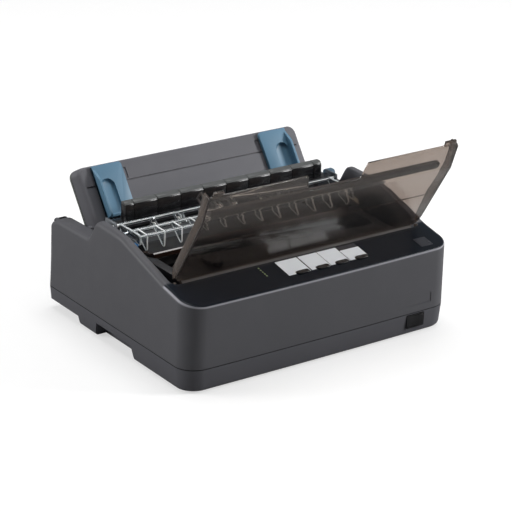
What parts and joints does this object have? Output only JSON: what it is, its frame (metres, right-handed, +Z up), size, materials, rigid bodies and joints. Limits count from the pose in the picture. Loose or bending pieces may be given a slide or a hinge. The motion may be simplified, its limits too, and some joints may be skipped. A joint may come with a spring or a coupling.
{
  "type": "dot matrix printer",
  "caption": "Narrow-carriage dot matrix printer with a hinged smoked cover, a folding sheet guide, a geared platen, a sliding print carriage and push tractors.",
  "frame": {"origin": "middle of the lower case's flat underside, under the centre of the housing; the rubber feet stand 1.5 mm below it", "axes": "+X to the right seen from the front, +Y to the rear, +Z up"},
  "size_m": [0.362, 0.2874, 0.2234],
  "materials": {
    "dark_shell": "fine-grained moulded plastic",
    "lower_shell": "fine-grained moulded plastic",
    "foot_rubber": "matt black rubber",
    "screw_steel": "plated steel",
    "connector_metal": "satin plated shell",
    "socket_black": "smooth black plastic",
    "rocker_black": "smooth black plastic",
    "legend_film": "pale panel film, left bare",
    "lamp_lens": "translucent lens",
    "board_green": "solder-masked board",
    "supply_board": "plain phenolic board",
    "button_black": "smooth black plastic",
    "smoked_sheet": "smoked transparent plastic",
    "guide_shell": "fine-grained moulded plastic",
    "guide_back": "fine-grained moulded plastic",
    "edge_blue": "fine-grained moulded plastic",
    "bar_black": "smooth black plastic",
    "clear_plastic": "clear plastic",
    "thin_steel": "ground steel",
    "star_white": "acetal",
    "zinc_sheet": "zinc-plated sheet",
    "brown_bar": "glossy dark plastic",
    "platen_rubber": "ground rubber",
    "knob_black": "ribbed plastic",
    "gear_ivory": "acetal",
    "pinion_brass": "turned brass",
    "motor_steel": "plated can",
    "carriage_black": "moulded plastic",
    "head_metal": "dark cast heat sink",
    "belt_black": "toothed rubber",
    "cartridge_black": "moulded plastic",
    "ribbon_ink": "inked woven tape",
    "knob_blue": "moulded plastic",
    "lever_slate": "moulded plastic"
  },
  "bodies": {
    "housing": {"lower_case": "lower_shell", "rubber_feet": "foot_rubber", "upper_housing": "dark_shell", "housing_screws": "screw_steel", "rear_connectors": "connector_metal", "mains_inlet": "socket_black", "power_switch_body": "socket_black", "panel_legends": "legend_film", "indicator_lights": "lamp_lens", "panel_board": "board_green", "separator_bar": "bar_black", "chassis_base": "zinc_sheet", "side_frame_left": "zinc_sheet", "side_frame_right": "zinc_sheet", "paper_guide_bar": "brown_bar", "paper_pan": "zinc_sheet", "feed_motor": "motor_steel", "carriage_rod": "thin_steel", "carriage_motor": "motor_steel", "carriage_belt": "belt_black", "ribbon_cartridge": "cartridge_black", "ribbon": "ribbon_ink", "tractor_rod": "thin_steel", "main_board": "board_green", "power_supply": "supply_board"},
    "rocker": {"power_rocker": "rocker_black"},
    "button_1": {"panel_button_1": "button_black"},
    "button_2": {"panel_button_2": "button_black"},
    "button_3": {"panel_button_3": "button_black"},
    "button_4": {"panel_button_4": "button_black"},
    "cover": {"printer_cover": "smoked_sheet"},
    "sheet_guide": {"sheet_guide_front": "guide_shell", "sheet_guide_rear": "guide_back"},
    "edge_left": {"edge_guide_left": "edge_blue"},
    "edge_right": {"edge_guide_right": "edge_blue"},
    "tension": {"tension_unit": "clear_plastic", "tension_shaft": "thin_steel"},
    "stars": {"star_wheels": "star_white"},
    "platen": {"platen_roller": "platen_rubber", "platen_shaft": "thin_steel", "platen_knob": "knob_black", "platen_gear": "gear_ivory"},
    "idler": {"idler_gear": "gear_ivory"},
    "transfer": {"transfer_gear": "gear_ivory"},
    "pinion": {"feed_pinion": "pinion_brass"},
    "pinch": {"pinch_rollers": "platen_rubber"},
    "carriage": {"carriage": "carriage_black", "print_head": "head_metal"},
    "pulley_drive": {"drive_pulley": "gear_ivory"},
    "pulley_idler": {"idler_pulley": "gear_ivory"},
    "knob": {"ribbon_knob": "knob_blue"},
    "lever_thickness": {"thickness_lever": "knob_blue"},
    "lever_release": {"release_lever": "lever_slate"},
    "tractor_l": {"tractor_left": "carriage_black"},
    "tractor_r": {"tractor_right": "carriage_black"},
    "sprocket_l": {"tractor_sprocket_left": "gear_ivory"},
    "sprocket_r": {"tractor_sprocket_right": "gear_ivory"},
    "door_l": {"tractor_door_left": "carriage_black"},
    "door_r": {"tractor_door_right": "carriage_black"},
    "tractor_drive": {"tractor_shaft": "carriage_black"}
  },
  "joints": [
    {"name": "cover_hinge", "type": "hinge", "parent": "housing", "child": "cover", "pos_m": [0, -0.0884, 0.10319], "axis": [1, 0, 0], "range_deg": [-105.5, 0]},
    {"name": "sheet_guide_fold", "type": "hinge", "parent": "housing", "child": "sheet_guide", "pos_m": [0, 0.08827, 0.10271], "axis": [1, 0, 0], "range_deg": [-48, 0]},
    {"name": "edge_guide_left_slide", "type": "slide", "parent": "sheet_guide", "child": "edge_left", "axis": [1, 0, 0], "range_m": [-0.01, 0.035]},
    {"name": "edge_guide_right_slide", "type": "slide", "parent": "sheet_guide", "child": "edge_right", "axis": [-1, 0, 0], "range_m": [-0.01, 0.035]},
    {"name": "tension_unit_lift", "type": "hinge", "parent": "housing", "child": "tension", "pos_m": [0, 0.044, 0.12], "axis": [-1, 0, 0], "range_deg": [0, 53]},
    {"name": "star_wheel_spin", "type": "hinge", "parent": "tension", "child": "stars", "pos_m": [0, 0.036, 0.1135], "axis": [1, 0, 0], "continuous": true},
    {"name": "button_1_press", "type": "slide", "parent": "housing", "child": "button_1", "axis": [0, 0.1959, -0.9806], "range_m": [0, 0.0006], "stiffness_N_per_m": 900, "springref_m": -0.0003},
    {"name": "button_2_press", "type": "slide", "parent": "housing", "child": "button_2", "axis": [0, 0.1959, -0.9806], "range_m": [0, 0.0006], "stiffness_N_per_m": 900, "springref_m": -0.0003},
    {"name": "button_3_press", "type": "slide", "parent": "housing", "child": "button_3", "axis": [0, 0.1959, -0.9806], "range_m": [0, 0.0006], "stiffness_N_per_m": 900, "springref_m": -0.0003},
    {"name": "button_4_press", "type": "slide", "parent": "housing", "child": "button_4", "axis": [0, 0.1959, -0.9806], "range_m": [0, 0.0006], "stiffness_N_per_m": 900, "springref_m": -0.0003},
    {"name": "power_rocker_tilt", "type": "hinge", "parent": "housing", "child": "rocker", "pos_m": [0.1248, -0.1329, 0.016], "axis": [0, 0, 1], "range_deg": [0, 16]},
    {"name": "platen_spin", "type": "hinge", "parent": "housing", "child": "platen", "pos_m": [0, 0.024, 0.086], "axis": [1, 0, 0], "continuous": true},
    {"name": "idler_spin", "type": "hinge", "parent": "housing", "child": "idler", "pos_m": [0, 0.04933, 0.07137], "axis": [1, 0, 0], "continuous": true},
    {"name": "transfer_spin", "type": "hinge", "parent": "housing", "child": "transfer", "pos_m": [0, 0.0765, 0.07351], "axis": [1, 0, 0], "continuous": true},
    {"name": "pinion_spin", "type": "hinge", "parent": "housing", "child": "pinion", "pos_m": [0, 0.05181, 0.05734], "axis": [1, 0, 0], "continuous": true},
    {"name": "pinch_spin", "type": "hinge", "parent": "housing", "child": "pinch", "pos_m": [0, 0.01774, 0.0688], "axis": [1, 0, 0], "continuous": true},
    {"name": "tractor_shaft_spin", "type": "hinge", "parent": "housing", "child": "tractor_drive", "pos_m": [0, 0.10765, 0.076], "axis": [1, 0, 0], "continuous": true},
    {"name": "carriage_slide", "type": "slide", "parent": "housing", "child": "carriage", "axis": [1, 0, 0], "range_m": [-0.088, 0.088]},
    {"name": "drive_pulley_spin", "type": "hinge", "parent": "housing", "child": "pulley_drive", "pos_m": [-0.126, -0.034, 0], "axis": [0, 0, 1], "range_deg": [-725, 725]},
    {"name": "idler_pulley_spin", "type": "hinge", "parent": "housing", "child": "pulley_idler", "pos_m": [0.126, -0.034, 0], "axis": [0, 0, 1], "range_deg": [-725, 725]},
    {"name": "ribbon_knob_spin", "type": "hinge", "parent": "housing", "child": "knob", "pos_m": [-0.088, -0.06, 0], "axis": [0, 0, 1], "continuous": true},
    {"name": "thickness_lever_tilt", "type": "hinge", "parent": "housing", "child": "lever_thickness", "pos_m": [0, 0.002, 0.062], "axis": [1, 0, 0], "range_deg": [0, 15]},
    {"name": "release_lever_tilt", "type": "hinge", "parent": "housing", "child": "lever_release", "pos_m": [0, 0.064, 0.097], "axis": [1, 0, 0], "range_deg": [0, 18]},
    {"name": "tractor_left_slide", "type": "slide", "parent": "housing", "child": "tractor_l", "axis": [1, 0, 0], "range_m": [-0.02, 0.06]},
    {"name": "tractor_right_slide", "type": "slide", "parent": "housing", "child": "tractor_r", "axis": [-1, 0, 0], "range_m": [-0.02, 0.1]},
    {"name": "sprocket_left_spin", "type": "hinge", "parent": "tractor_l", "child": "sprocket_l", "pos_m": [-0.1, 0.10765, 0.076], "axis": [1, 0, 0], "continuous": true},
    {"name": "sprocket_right_spin", "type": "hinge", "parent": "tractor_r", "child": "sprocket_r", "pos_m": [0.1, 0.10765, 0.076], "axis": [1, 0, 0], "continuous": true},
    {"name": "tractor_door_left_lift", "type": "hinge", "parent": "tractor_l", "child": "door_l", "pos_m": [-0.111, 0.10765, 0.086], "axis": [0, -1, 0], "range_deg": [0, 75]},
    {"name": "tractor_door_right_lift", "type": "hinge", "parent": "tractor_r", "child": "door_r", "pos_m": [0.111, 0.10765, 0.086], "axis": [0, 1, 0], "range_deg": [0, 75]}
  ],
  "couplings": [
    {"joint": "idler_spin", "follows": "platen_spin", "ratio": -2.2222},
    {"joint": "transfer_spin", "follows": "platen_spin", "ratio": 1.1111},
    {"joint": "pinion_spin", "follows": "platen_spin", "ratio": 4},
    {"joint": "pinch_spin", "follows": "platen_spin", "ratio": -5},
    {"joint": "tractor_shaft_spin", "follows": "platen_spin", "ratio": -1.5385},
    {"joint": "sprocket_left_spin", "follows": "platen_spin", "ratio": -1.5385},
    {"joint": "sprocket_right_spin", "follows": "platen_spin", "ratio": -1.5385},
    {"joint": "drive_pulley_spin", "follows": "carriage_slide", "rad_per_m": 142.86},
    {"joint": "idler_pulley_spin", "follows": "carriage_slide", "rad_per_m": 142.86}
  ]
}
